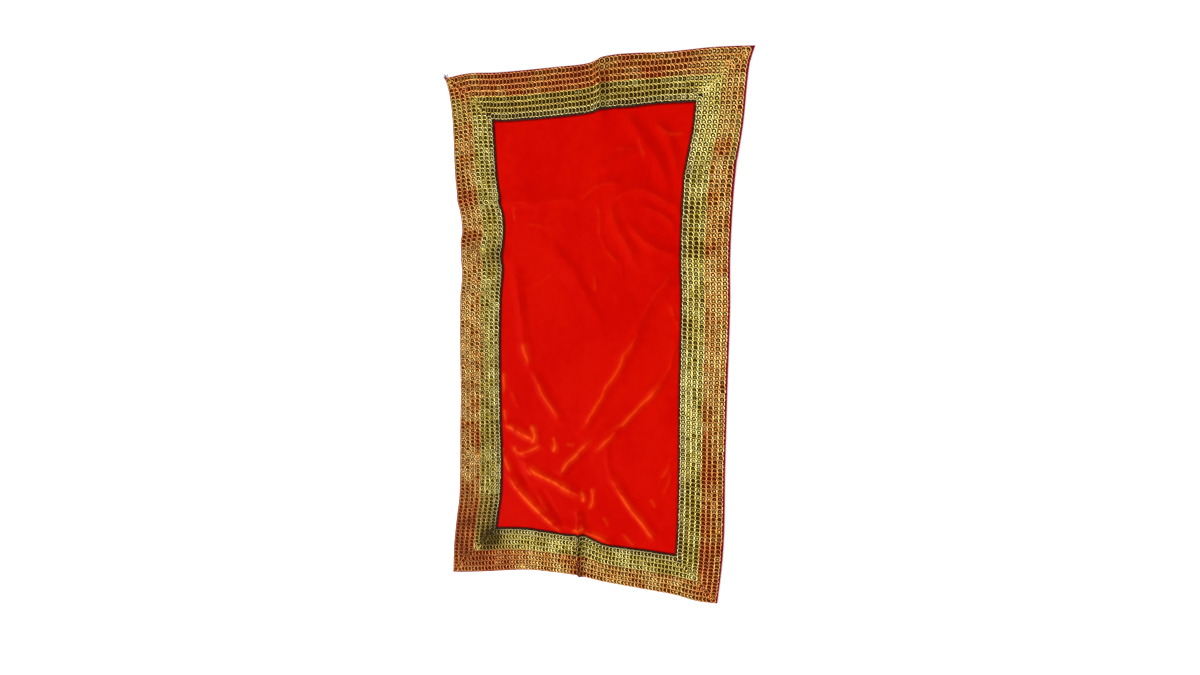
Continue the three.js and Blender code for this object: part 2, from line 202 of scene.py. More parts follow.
# Small creases and troughs that are finer than the solid's folds
CREASES = [
    Fold((-103, -137), (-87, -165), (-70, -199), -2.0, 7, 7, 0.3, 0),
    Fold((-58, -186), (-44, -204), (-25, -231), -1.6, 6, 6, 0.3, 0),
    Fold((-66, -188), (-52, -207), (-43, -218), 0.8, 3, 3, 0.5, 0.18),
    Fold((-107, -136), (-105, -152), (-96, -173), 1.2, 4, 4, 0.6, 0.6),
    Fold((-79, -153), (-76, -163), (-68, -168), 1.0, 4, 4, 0.6, 0.6),
    Fold((-7, -181), (-2, -186), (-3, -195), 1.0, 4, 4, 0.6, 0.8),
    Fold((-105, -89), (-105, -98), (-103, -108), 0.8, 4, 4, 0.6, 0.5),
    Fold((-71, -106), (-65, -118), (-69, -132), 1.5, 5, 5, 0.6, 0.9),
    Fold((-96, -135), (-86, -144), (-77, -140), 1.3, 5, 5, 0.6, 0.9),
    Fold((-80, -141), (-68, -139), (-56, -131), 1.1, 4, 4, 0.6, 0.6),
    Fold((-39, -119), (-37, -128), (-41, -138), 1.3, 4, 4, 0.6, 0.9),
    Fold((-24, -126), (-18, -126), (-11, -125), 0.6, 3, 3, 0.6, 0.24),
    Fold((-107, -43), (-107, -58), (-105, -73), 1.0, 4, 4, 0.6, 0.6),
    Fold((-96, -67), (-92, -77), (-87, -88), 1.0, 5, 5, 0.5, 0.18),
    Fold((-79, -5), (-75, -21), (-73, -36), 1.0, 5, 4, 0.6, 0.6),
    Fold((8, -174), (12, -187), (6, -204), 0.9, 4, 4, 0.6, 0.6),
    Fold((-17, -231), (-8, -230), (2, -226), 0.9, 4, 4, 0.6, 0.7),
    Fold((2, -231), (16, -233), (36, -242), 0.9, 4, 4, 0.6, 0.6),
    Fold((-15, -209), (-8, -213), (-2, -218), 0.8, 5, 5, 0.4, 0.12),
    Fold((109, -128), (102, -140), (92, -156), 1.2, 5, 5, 0.5, 0.24),
    Fold((106, -144), (102, -158), (99, -175), 1.0, 5, 5, 0.5, 0.12),
    Fold((81, -179), (84, -184), (88, -190), 0.8, 4, 4, 0.5, 0.24),
    Fold((50, -224), (56, -232), (63, -240), 1.0, 5, 5, 0.5, 0.24),
    Fold((25, -208), (28, -214), (31, -221), 0.8, 4, 4, 0.5, 0.21),
    Fold((29, -118), (30, -138), (36, -162), 1.6, 8, 6, 0.4, 0),
    Fold((26, -111), (37, -101), (50, -89), 0.6, 3, 3, 0.6, 0.15),
    Fold((74, -51), (90, -34), (103, -9), -0.9, 4, 4, 0.5, 0),
    Fold((22, -105), (46, -84), (68, -62), -1.0, 5, 5, 0.4, 0),
    Fold((15, 157), (17, 137), (18, 117), 1.4, 6, 5, 0.5, 0.12),
    Fold((19, 120), (27, 104), (38, 88), 1.4, 7, 5, 0.5, 0.09),
    Fold((47, 90), (48, 82), (48, 74), -0.9, 4, 4, 0.4, 0),
    Fold((12, 76), (13, 66), (13, 56), 0.9, 4, 4, 0.5, 0.14),
    Fold((66, 147), (90, 141), (105, 122), 2.0, 9, 9, 0.4, 0.05),
    Fold((62, 225), (67, 215), (71, 204), 0.8, 4, 3, 0.6, 0.14),
    Fold((83, 238), (95, 227), (117, 227), 1.3, 6, 5, 0.6, 0.12),
    Fold((36, 213), (47, 213), (59, 212), 0.7, 4, 4, 0.5, 0.09),
    Fold((78, 202), (77, 190), (75, 178), -1.0, 4, 4, 0.4, 0),
    Fold((-89, 155), (-90, 145), (-89, 135), 0.9, 4, 4, 0.5, 0.17),
    Fold((-75, 133), (-57, 131), (-40, 128), 0.8, 5, 4, 0.5, 0.09),
    Fold((-73, 60), (-54, 67), (-35, 83), 0.8, 5, 5, 0.4, 0.05),
    Fold((99, 46), (104, 33), (112, 17), 1.0, 4, 4, 0.6, 0.12),
    Fold((-86, 46), (-84, 34), (-83, 20), 0.8, 4, 4, 0.5, 0.07),
]
CREST_STEPS = 16
CREST_ROUND = 0.7 * MM
CREST_STEEP = 2.5
DEEPEST = -0.8 * MM

# How low a fold is at its ends, and how fast it rises from them
END_HEIGHT = 0.35
END_RISE = 0.3

# The painted highlight along a crest has a thin core in a soft glow, and it fades at its tips
LINE_WIDTH = 0.5 * MM
LINE_WIDENS = 0.7 * MM
LINE_CORE = 0.65
LINE_GLOW = 4.0
TIP_FADE = 0.2

# The cloth is a little uneven all over
SWELL_HEIGHT = 1.8 * MM
SWELL_ACROSS = 118 * MM
SWELL_ALONG = 146 * MM
SWELL_FADE = 40 * MM
RIPPLE_HEIGHT = 0.14 * MM
RIPPLE_WAVE = 36 * MM
RIPPLE_SEED = 5
WOBBLE = 1.0 * MM
WOBBLE_WAVE = 30 * MM
WOBBLE_SEEDS = (3, 4)
WAVES_THAT_CROSS = 7
WAVE_LENGTHS = (0.7, 1.6)


def ease(part):
    t = np.clip(part, 0, 1)
    return t * t * (3 - 2 * t)


def mix(low, high, part):
    return low + (high - low) * part


def uneven(x, y, wave, seed):
    """A smooth random number from about -1 to 1 over a surface, made of waves that cross."""
    chance = np.random.default_rng(seed)
    total = np.zeros_like(x)
    for _ in range(WAVES_THAT_CROSS):
        way, shift = chance.uniform(0, 2 * math.pi, 2)
        length = wave * chance.uniform(*WAVE_LENGTHS)
        total += np.sin(2 * math.pi * (x * math.cos(way) + y * math.sin(way)) / length + shift)
    return total / math.sqrt(WAVES_THAT_CROSS)


def read_side(side, at, column):
    """One column of a side's table at distances along it, rounded between its rows."""
    places = np.array([edge.at for edge in SIDES[side]]) * MM
    values = np.array([getattr(edge, column) for edge in SIDES[side]]) * MM
    numbers = np.arange(len(places))
    before = np.maximum(numbers - 1, 0)
    after = np.minimum(numbers + 1, len(places) - 1)
    slope = (values[after] - values[before]) / (places[after] - places[before])
    row = np.clip(np.searchsorted(places, at, side="right") - 1, 0, len(places) - 2)
    step = places[row + 1] - places[row]
    t = (at - places[row]) / step
    pull = (t - 1) ** 2 * t * step * slope[row] + (t - 1) * t**2 * step * slope[row + 1]
    return mix(values[row], values[row + 1], ease(t)) + pull


def spread(at, cut, low, high, low_border, high_border):
    """One coordinate: the border keeps its own width and the middle takes the rest."""
    inside = mix(low + low_border, high - high_border, (at - BORDER) / (cut - 2 * BORDER))
    near = low + at / BORDER * low_border
    far = high - (cut - at) / BORDER * high_border
    return np.where(at <= BORDER, near, np.where(at >= cut - BORDER, far, inside))


def lie(across, along):
    """Where points of the cut cloth come to lie, seen from above."""
    corner = {name: np.array(place) * MM for name, place in CORNERS.items()}
    up = along / CLOTH_LENGTH
    over = across / CLOTH_WIDTH
    left = mix(corner["near left"][0], corner["far left"][0], up) + read_side("left", along, "drawn")
    right = mix(corner["near right"][0], corner["far right"][0], up) - read_side("right", along, "drawn")
    near = mix(corner["near left"][1], corner["near right"][1], over) + read_side("near", across, "drawn")
    far = mix(corner["far left"][1], corner["far right"][1], over) - read_side("far", across, "drawn")
    left_border, right_border = read_side("left", along, "border"), read_side("right", along, "border")
    near_border, far_border = read_side("near", across, "border"), read_side("far", across, "border")
    x = spread(across, CLOTH_WIDTH, left, right, left_border, right_border)
    y = spread(along, CLOTH_LENGTH, near, far, near_border, far_border)
    return x, y


def distance_in(across, along):
    return np.minimum(np.minimum(across, CLOTH_WIDTH - across), np.minimum(along, CLOTH_LENGTH - along))


def crest_of(fold):
    """Points along a fold's crest, which curves through its three places."""
    start, by, end = (np.array(place) * MM for place in (fold.start, fold.by, fold.end))
    pull = 2 * by - (start + end) / 2
    t = np.linspace(0, 1, CREST_STEPS + 1)[:, None]
    return (1 - t) ** 2 * start + 2 * t * (1 - t) * pull + t**2 * end


def measure(crest, here):
    """How far points are from a crest, whether on its left, and how far along it."""
    gap = np.full(len(here), np.inf)
    turn, place = np.zeros(len(here)), np.zeros(len(here))
    for i in range(CREST_STEPS):
        way = crest[i + 1] - crest[i]
        offset = here - crest[i]
        part = np.clip(offset @ way / (way @ way), 0, 1)
        distance = np.linalg.norm(offset - part[:, None] * way, axis=1)
        nearer = distance < gap
        gap[nearer] = distance[nearer]
        turn[nearer] = (way[0] * offset[:, 1] - way[1] * offset[:, 0])[nearer]
        place[nearer] = ((i + part) / CREST_STEPS)[nearer]
    return gap, turn > 0, place


def relief(folds, x, y):
    """The height that folds give at points, and how strong the painted highlight on their crests is there."""
    height, crushed = np.zeros_like(x), np.zeros_like(x)
    x = x + WOBBLE * uneven(x, y, WOBBLE_WAVE, WOBBLE_SEEDS[0])
    y = y + WOBBLE * uneven(x, y, WOBBLE_WAVE, WOBBLE_SEEDS[1])
    for fold in folds:
        crest = crest_of(fold)
        reach = max(fold.left, fold.right) * MM
        low, high = crest.min(axis=0) - reach, crest.max(axis=0) + reach
        close = (x > low[0]) & (x < high[0]) & (y > low[1]) & (y < high[1])
        gap, on_left, place = measure(crest, np.stack([x[close], y[close]], axis=1))
        width = np.where(on_left, fold.left, fold.right) * MM
        off = np.minimum(gap / width, 1)
        soft = (1 - off * off) ** 2
        crisp = (1 - np.minimum(np.sqrt(off * off + (CREST_ROUND / width) ** 2), 1)) ** CREST_STEEP
        ends = ease(END_HEIGHT + place / END_RISE) * ease(END_HEIGHT + (1 - place) / END_RISE)
        height[close] += fold.height * MM * mix(soft, crisp, fold.sharp) * ends
        from_line = gap / (LINE_WIDTH + LINE_WIDENS * fold.crushed)
        line = mix(np.exp(-((from_line / LINE_GLOW) ** 2)), np.exp(-(from_line**2)), LINE_CORE)
        tips = ease(place / TIP_FADE) * ease((1 - place) / TIP_FADE)
        crushed[close] = np.maximum(crushed[close], fold.crushed * line * tips)
    return height, crushed


def lift_off(across, along):
    """How far the cloth stands off the table, and how strong the painted highlight on its crests is."""
    x, y = lie(across, along)
    inside = ease((distance_in(across, along) - BORDER) / SWELL_FADE)
    waves = np.cos(2 * math.pi * x / SWELL_ACROSS) * np.cos(2 * math.pi * y / SWELL_ALONG)
    main_height, main_highlight = relief(FOLDS, x, y)
    small_height, small_highlight = relief(CREASES, x, y)
    ripple = RIPPLE_HEIGHT * inside * uneven(x, y, RIPPLE_WAVE, RIPPLE_SEED)
    lift = main_height + small_height + SWELL_HEIGHT * inside * (0.5 - 0.5 * waves) + ripple
    return lift, np.maximum(main_highlight, small_highlight)


def thickness(across, along):
    """How thick the cloth is at places, with its double hem, its round rim and its low roll."""
    inward = distance_in(across, along)
    body = mix(HEM, VELVET, ease((inward - HEM_TURNED) / (TRIM_WIDTH / 2)))
    edge = np.clip(inward / HEM_ROUND, 0, 1)
    roll = HEM_ROLL * ease(1 - np.abs(inward - HEM_ROLL_MIDDLE) / HEM_ROLL_HALF)
    return body * mix(HEM_RIM, 1.0, np.sqrt(1 - (1 - edge) ** 2)) + roll


# The part's frame has its middle over the middle of the lying cloth
OUTLINE_STEPS = 200
outline_across = np.linspace(0, CLOTH_WIDTH, OUTLINE_STEPS)
outline_along = np.linspace(0, CLOTH_LENGTH, OUTLINE_STEPS)
left_x = lie(np.zeros(OUTLINE_STEPS), outline_along)[0]
right_x = lie(np.full(OUTLINE_STEPS, CLOTH_WIDTH), outline_along)[0]
near_y = lie(outline_across, np.zeros(OUTLINE_STEPS))[1]
far_y = lie(outline_across, np.full(OUTLINE_STEPS, CLOTH_LENGTH))[1]
MIDDLE_X = (left_x.min() + right_x.max()) / 2
MIDDLE_Y = (near_y.min() + far_y.max()) / 2


def on_velvet(across, along, above=0.0):
    """Points on the velvet's upper side, in the part's frame."""
    x, y = lie(across, along)
    lift, _ = lift_off(across, along)
    z = np.maximum(lift, DEEPEST) + thickness(across, along) + above
    return np.stack([x - MIDDLE_X, y - MIDDLE_Y, z], axis=-1)


def under_velvet(across, along):
    x, y = lie(across, along)
    lift, _ = lift_off(across, along)
    return np.stack([x - MIDDLE_X, y - MIDDLE_Y, np.maximum(lift, 0)], axis=-1)


def make_piece(name, points, faces, finish, smooth=True):
    mesh = bpy.data.meshes.new(name)
    mesh.from_pydata(points.tolist(), [], faces)
    mesh.polygons.foreach_set("use_smooth", [smooth] * len(mesh.polygons))
    mesh.materials.append(finish)
    piece = bpy.data.objects.new(name, mesh)
    bpy.context.scene.collection.objects.link(piece)
    return piece


def name_value(piece, name, values):
    """Keeps one number for each point of a piece, for its material to read."""
    attribute = piece.data.attributes.new(name, "FLOAT", "POINT")
    attribute.data.foreach_set("value", np.asarray(values, dtype=np.float32))


def sheet_faces(rows, columns, first, face_up):
    """The quads of a grid of points, numbered from first, with its rows one after another."""
    start = (np.arange(rows - 1)[:, None] * columns + np.arange(columns - 1)[None, :]).ravel() + first
    quads = np.stack([start, start + 1, start + columns + 1, start + columns], axis=1)
    return (quads if face_up else quads[:, ::-1]).tolist()


def grid_edges(rows, columns, first):
    """The point numbers round a grid, side by side, anticlockwise from its near left corner."""
    numbers = np.arange(rows * columns).reshape(rows, columns) + first
    return [numbers[0], numbers[:, -1], numbers[-1][::-1], numbers[:, 0][::-1]]


def wall_faces(upper_edges, lower_edges):
    """Closes the side between two grids, whose edges may have different numbers of points."""
    faces = []
    for upper, lower in zip(upper_edges, lower_edges):
        up, down = 0, 0
        while up < len(upper) - 1 or down < len(lower) - 1:
            if (down + 1) / (len(lower) - 1) <= (up + 1) / (len(upper) - 1):
                faces.append((int(lower[down]), int(lower[down + 1]), int(upper[up])))
                down += 1
            else:
                faces.append((int(lower[down]), int(upper[up + 1]), int(upper[up])))
                up += 1
    return faces


def paint(red, green, blue):
    """A colour as it is seen, in parts of 255, turned to reflected light by the usual screen curve."""
    shares = [value / 255 for value in (red, green, blue)]
    return (*[s / 12.92 if s <= 0.04045 else ((s + 0.055) / 1.055) ** 2.4 for s in shares], 1)


class Value:
    """A number that varies over a surface, with which sums are written plainly."""

    def __init__(self, finish, socket):
        self.finish = finish
        self.socket = socket

    def sum(self, operation, first, second):
        return self.finish.node("ShaderNodeMath", {"operation": operation}, {0: first, 1: second})

    def __add__(self, other):
        return self.sum("ADD", self, other)

    def __radd__(self, other):
        return self.sum("ADD", other, self)

    def __sub__(self, other):
        return self.sum("SUBTRACT", self, other)

    def __rsub__(self, other):
        return self.sum("SUBTRACT", other, self)

    def __mul__(self, other):
        return self.sum("MULTIPLY", self, other)

    def __rmul__(self, other):
        return self.sum("MULTIPLY", other, self)


class Finish:
    """A material, built node by node on one Principled shader."""

    def __init__(self, name, fixed):
        self.material = bpy.data.materials.new(name)
        self.material.use_nodes = True
        self.tree = self.material.node_tree
        self.shader = self.tree.nodes["Principled BSDF"]
        self.feed(fixed)

    def put(self, socket, value):
        if isinstance(value, Value):
            self.tree.links.new(value.socket, socket)
        else:
            socket.default_value = value

    def feed(self, sockets):
        for name, value in sockets.items():
            self.put(self.shader.inputs[name], value)

    def node(self, kind, settings=None, sockets=None, output=0):
        made = self.tree.nodes.new(kind)
        for name, value in (settings or {}).items():
            setattr(made, name, value)
        for name, value in (sockets or {}).items():
            self.put(made.inputs[name], value)
        return Value(self, made.outputs[output])

    def place(self):
        return self.node("ShaderNodeTexCoord", output=3)

    def noise(self, scale, detail=2.0, stretch=(1, 1, 1)):
        where = self.node("ShaderNodeMapping", sockets={"Vector": self.place(), "Scale": stretch})
        return self.node("ShaderNodeTexNoise", sockets={"Vector": where, "Scale": scale, "Detail": detail})

    def named(self, name):
        return self.node("ShaderNodeAttribute", {"attribute_name": name}, output=2)

    def between(self, value, low, high):
        """0 below low and 1 above high, and smooth between them."""
        settings = {"interpolation_type": "SMOOTHSTEP"}
        return self.node("ShaderNodeMapRange", settings, {"Value": value, "From Min": low, "From Max": high})

    def blend(self, part, low, high):
        return self.node("ShaderNodeMix", {"data_type": "RGBA"}, {0: part, 6: low, 7: high}, output=2)

    def bump(self, height, strength, distance):
        sockets = {"Height": height, "Strength": strength, "Distance": distance}
        return self.node("ShaderNodeBump", sockets=sockets)


PILE_RED = paint(172, 3, 0)
PILE_DEEP = paint(158, 0, 0)
PILE_BRIGHT = paint(180, 8, 0)
# The orange of the painted highlight along the crests
PILE_HIGHLIGHT = paint(222, 76, 18)
# The dark red of the painted shadow on the velvet beside the trim
PILE_SHADOW_BY_TRIM = paint(52, 0, 0)
# The hem's round rim: partly its own crimson, partly painted sheen and shade where it turns down
HEM_SHEEN_CRIMSON = paint(118, 4, 38)
BACK_RED = paint(128, 18, 18)
HEM_CUT_EDGE = 0.4 * MM

# The nap is brushed in broad soft patches, with finer mottling and the pile itself
BRUSHED_SCALE = 16
BRUSHED_STRETCH = (1, 0.5, 1)
BRUSHED_SHARE = 0.7
MOTTLED_SCALE = 90
SHADE_RANGE = (0.36, 0.64)
PILE_SCALE = 2600
PILE_GAPS = (0.6, 0.35)
PILE_SHADE = 0.3
PATCHY_SCALE = 70
PATCHY_RANGE = (0.25, 0.62)
PILE_BUMP_SHARE = 0.4
PILE_BUMP = 0.3
PILE_DEPTH = 0.3 * MM

velvet = Finish("red_velvet", {
    "Roughness": 0.6,
    "Specular IOR Level": 0.02,
    "Specular Tint": (1.0, 0.2, 0.03, 1),
    "Sheen Weight": 0.06,
    "Sheen Roughness": 0.4,
    "Sheen Tint": (1.0, 0.06, 0.0, 1),
})
brushed = velvet.noise(BRUSHED_SCALE, 3, BRUSHED_STRETCH)
mottled = velvet.noise(MOTTLED_SCALE, 2)
pile = velvet.noise(PILE_SCALE, 1)
patchy = velvet.noise(PATCHY_SCALE, 3)
shade = velvet.between(brushed * BRUSHED_SHARE + mottled * (1 - BRUSHED_SHARE), *SHADE_RANGE)
red = velvet.blend(shade, PILE_RED, PILE_BRIGHT)
red = velvet.blend(velvet.between(pile, *PILE_GAPS) * PILE_SHADE, red, PILE_DEEP)
# Painted highlight: thin orange lines along the crests, broken into patches
red = velvet.blend(velvet.named("crushed") * velvet.between(patchy, *PATCHY_RANGE), red, PILE_HIGHLIGHT)
# Painted shadow: the velvet goes dark just inside the trim, where the trim shades it
red = velvet.blend(velvet.named("shadow_by_trim"), red, PILE_SHADOW_BY_TRIM)
# The hem's rim, painted crimson: partly its own colour, partly painted sheen and shade at its round edge
red = velvet.blend(velvet.named("hem"), red, HEM_SHEEN_CRIMSON)
past_hem = velvet.between(velvet.named("under"), HEM_TURNED, HEM_TURNED + HEM_CUT_EDGE)
red = velvet.blend(past_hem, red, BACK_RED)
nap = pile * PILE_BUMP_SHARE + mottled * (1 - PILE_BUMP_SHARE)
velvet.feed({"Base Color": red, "Normal": velvet.bump(nap, PILE_BUMP, PILE_DEPTH)})


# The mesh has lines close together over the round edge, then even ones to the border's end
RIM_LINES = (0, 0.2, 0.5, 0.9, 1.3)
RIM_STEP = 0.7 * MM
BORDER_STEPS = 18
INSIDE_COLUMNS = 186
INSIDE_ROWS = 336
FINER_NEAR = 0.35
COARSER_BELOW = 3

# How far in the hem's colour and the painted shadow beside the trim reach
HEM_COLOURED = 1.4 * MM
HEM_FADE = 1.2 * MM
SHADOW_BY_TRIM_FROM = 1.2 * MM
SHADOW_BY_TRIM_FADE = 2.6 * MM


def divide(cut, inside_steps, finer):
    """Lines over the cut cloth, closer together at its round edge and towards its start."""
    rim = np.array(RIM_LINES) * MM
    border = np.linspace(rim[-1] + RIM_STEP, BORDER, BORDER_STEPS + 1)
    part = np.linspace(0, 1, inside_steps + 1)[1:-1]
    inside = mix(BORDER, cut - BORDER, mix(part, part * part, finer))
    half = np.concatenate([rim, border])
    return np.concatenate([half, inside, cut - half[::-1]])


velvet_columns = divide(CLOTH_WIDTH, INSIDE_COLUMNS, 0)
velvet_rows = divide(CLOTH_LENGTH, INSIDE_ROWS, FINER_NEAR)
top_across, top_along = np.meshgrid(velvet_columns, velvet_rows)
base_columns = np.unique(np.append(velvet_columns[::COARSER_BELOW], CLOTH_WIDTH))
base_rows = np.unique(np.append(velvet_rows[::COARSER_BELOW], CLOTH_LENGTH))
base_across, base_along = np.meshgrid(base_columns, base_rows)
top_points = on_velvet(top_across, top_along).reshape(-1, 3)
base_points = under_velvet(base_across, base_along).reshape(-1, 3)
faces = sheet_faces(*top_across.shape, 0, True)
faces += sheet_faces(*base_across.shape, len(top_points), False)
faces += wall_faces(grid_edges(*top_across.shape, 0), grid_edges(*base_across.shape, len(top_points)))
panel = make_piece("velvet", np.vstack([top_points, base_points]), faces, velvet.material)
inward = distance_in(top_across, top_along).ravel()
below = np.zeros(len(base_points))
name_value(panel, "hem", np.concatenate([ease(1 - (inward - HEM_COLOURED) / HEM_FADE), below]))
# The painted shadow fades out inward from the trim's edge
past_trim = (inward - BORDER - SHADOW_BY_TRIM_FROM) / SHADOW_BY_TRIM_FADE
name_value(panel, "shadow_by_trim", np.concatenate([ease(1 - past_trim), below]))
# How strong the painted crest highlight is at each point
name_value(panel, "crushed", np.concatenate([lift_off(top_across, top_along)[1].ravel(), below]))
# The underside shows the cloth's back, inside the hem that is turned onto it
under = distance_in(base_across, base_along).ravel()
name_value(panel, "under", np.concatenate([np.zeros(len(top_points)), under]))
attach(panel, "root")
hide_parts("velvet_panel")


# The outer trim
# Four lengths of net tape with four rows of cupped copper sequins, each sequin sewn through
# its middle and overlapping the next. They are sewn along the hem and mitred at the corners.

ROWS_OF_SEQUINS = 4
SEQUIN_STEP = 4.64 * MM
SEQUIN_SIDES = 13
SEQUIN_TILT = math.radians(6.5)
SEQUIN_UNEVEN = math.radians(2.2)
SEQUIN_LIFTED = 0.35 * MM
SEQUIN_BACK = -0.16 * MM
SEQUIN_STITCH = 0.2 * MM
SEQUIN_ABOVE = 0.65 * MM
SEWN_UNEVEN = 0.18 * MM
MITRE_SPACE = 3.6 * MM
TAPE_THICKNESS = 0.35 * MM
TAPE_ABOVE = 0.12 * MM
TAPE_STEP = 2.2 * MM
TAPE_WAVE = 9 * MM

# The sequins are blotchy, and their beads carry a painted highlight, which fades where rust
# and painted shade lie on them
RUST_MOTTLE = 0.3
RUST_UNEVEN = 0.08
MOTTLE_WAVE = 28 * MM
MOTTLE_SEED = 6
TONE_LOST = 0.5
CUP_LIT = 0.12
LIT_SELDOM = 3
BEAD_HIGHLIGHT = 0.15
BEAD_HIGHLIGHT_UNEVEN = 0.25
BEAD_HIGHLIGHT_LOST = 0.8
Patch = namedtuple("Patch", "x y wide long strength")
# Patches where the painted highlight on the beads is strongest, in millimetres
BEAD_HIGHLIGHTS = [
    Patch(140, 262, 34, 50, 0.6),
    Patch(140, 0, 40, 280, 0.22),
    Patch(154, 60, 24, 50, 0.3),
    Patch(-106, -284, 24, 12, 1.1),
]
TURNED_UNEVEN = 0.13

# One sequin from its outer edge to its stitch, in millimetres. Shine is 1 on the polished rim,
# which is painted brightest on its crest as a highlight, and 0 in the cup, which is painted dark
# for the shade in it. Bead is 1 on the small bead that the stitch holds it by.
Ring = namedtuple("Ring", "radius height shine bead")
SEQUIN_RINGS = [
    Ring(3.32, 0.02, 0.4, 0),
    Ring(3.17, 0.17, 1.0, 0),
    Ring(3.02, 0.23, 1.0, 0),
    Ring(2.84, 0.16, 0.9, 0),
    Ring(2.64, 0.00, 0.0, 0),
    Ring(1.00, -0.10, 0.0, 0),
    Ring(0.78, -0.02, 0.0, 1),
    Ring(0.45, 0.18, 0.0, 1),
]


def trim_place(side, station, inward):
    """The cut cloth's coordinates of a place on a trim, by its side."""
    if side == "near":
        return station, inward
    if side == "far":
        return station, CLOTH_LENGTH - inward
    if side == "left":
        return inward, station
    return CLOTH_WIDTH - inward, station


def side_length(side):
    return CLOTH_WIDTH if side in ("near", "far") else CLOTH_LENGTH


def make_tape(name, side, inward_from, inward_to, ragged, finish):
    """A length of net tape, mitred at both ends, as a thin closed sheet."""
    along_steps = round(side_length(side) / TAPE_STEP)
    across_steps = round((inward_to - inward_from) / TAPE_STEP)
    part, share = np.meshgrid(np.linspace(0, 1, along_steps + 1), np.linspace(0, 1, across_steps + 1))
    wave = ragged * uneven(part * side_length(side), share * 0, TAPE_WAVE, len(name))
    inward = mix(inward_from, inward_to + wave, share)
    station = mix(inward, side_length(side) - inward, part)
    across, along = trim_place(side, station, inward)
    top = on_velvet(across, along, TAPE_ABOVE + TAPE_THICKNESS).reshape(-1, 3)
    base = on_velvet(across, along, TAPE_ABOVE).reshape(-1, 3)
    face_up = side in ("near", "right")
    faces = sheet_faces(*part.shape, 0, face_up) + sheet_faces(*part.shape, len(top), not face_up)
    walls = wall_faces(grid_edges(*part.shape, 0), grid_edges(*part.shape, len(top)))
    faces += walls if face_up else [wall[::-1] for wall in walls]
    tape = make_piece(name, np.vstack([top, base]), faces, finish)
    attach(tape, "root")
    return tape


def sequin_shape():
    """The points of one sequin round its own middle, and its faces."""
    turns = np.arange(SEQUIN_SIDES) * 2 * math.pi / SEQUIN_SIDES
    circle = np.stack([np.cos(turns), np.sin(turns), np.zeros(SEQUIN_SIDES)], axis=1)
    rings = [circle * ring.radius * MM + np.array([0, 0, ring.height * MM]) for ring in SEQUIN_RINGS]
    points = np.vstack([*rings, [(0, 0, SEQUIN_STITCH), (0, 0, SEQUIN_BACK)]])
    middle, back = len(points) - 2, len(points) - 1
    last = middle - SEQUIN_SIDES
    faces = []
    for i in range(SEQUIN_SIDES):
        j = (i + 1) % SEQUIN_SIDES
        for outer in range(0, last, SEQUIN_SIDES):
            inner = outer + SEQUIN_SIDES
            faces.append((outer + i, outer + j, inner + j, inner + i))
        faces.append((last + i, last + j, middle))
        faces.append((j, i, back))
    return points, faces


def ring_values(column, at_stitch, at_back):
    """One column of the sequin's table, for each point of its shape."""
    values = [getattr(ring, column) for ring in SEQUIN_RINGS]
    return np.append(np.repeat(values, SEQUIN_SIDES), [at_stitch, at_back])


def sewn_places(side, inward_from, bare_mitre, chance):
    """Where one length's sequins are sewn: in line across its rows, and over its mitres.

    Each place is its station along the side, how far in it is, its row, and whether it is one
    of those sewn over a mitre, which only the two long sides have.
    """
    middle = side_length(side) / 2
    pitch = TRIM_WIDTH / ROWS_OF_SEQUINS
    places = []
    for row in range(ROWS_OF_SEQUINS):
        inward = inward_from + pitch * (row + 0.5)
        reach = middle - inward - MITRE_SPACE
        steps = math.floor(reach / SEQUIN_STEP)
        stations = list(np.arange(-steps, steps + 1) * SEQUIN_STEP)
        if reach - stations[-1] > SEQUIN_STEP / 2:
            stations += [-reach, reach]
        places += [(middle + station, inward, row, 0) for station in stations]
    if side in ("left", "right"):
        for half_row in range(1, 2 * ROWS_OF_SEQUINS - bare_mitre):
            inward = inward_from + pitch * half_row / 2
            row = (half_row - 1) // 2
            places += [(inward, inward, row, 1), (2 * middle - inward, inward, row, 1)]
    station, inward, row, over_mitre = np.array(places).T
    station = station + chance.normal(0, SEWN_UNEVEN, len(station))
    inward = inward + chance.normal(0, SEWN_UNEVEN, len(inward))
    return station, inward, row, over_mitre


def unit(vectors):
    return vectors / np.linalg.norm(vectors, axis=1)[:, None]


def turn_pair(first, second, angle):
    """Turns two crossing directions by an angle, from the first towards the second."""
    cos, sin = np.cos(angle)[:, None], np.sin(angle)[:, None]
    return first * cos + second * sin, second * cos - first * sin


def patch_strength(patches, x, y):
    """How strongly soft patches are felt at places, where a negative patch takes away."""
    strength = np.zeros_like(x)
    for patch in patches:
        away = np.hypot((x / MM - patch.x) / patch.wide, (y / MM - patch.y) / patch.long)
        strength += patch.strength * np.exp(-away * away)
    return strength


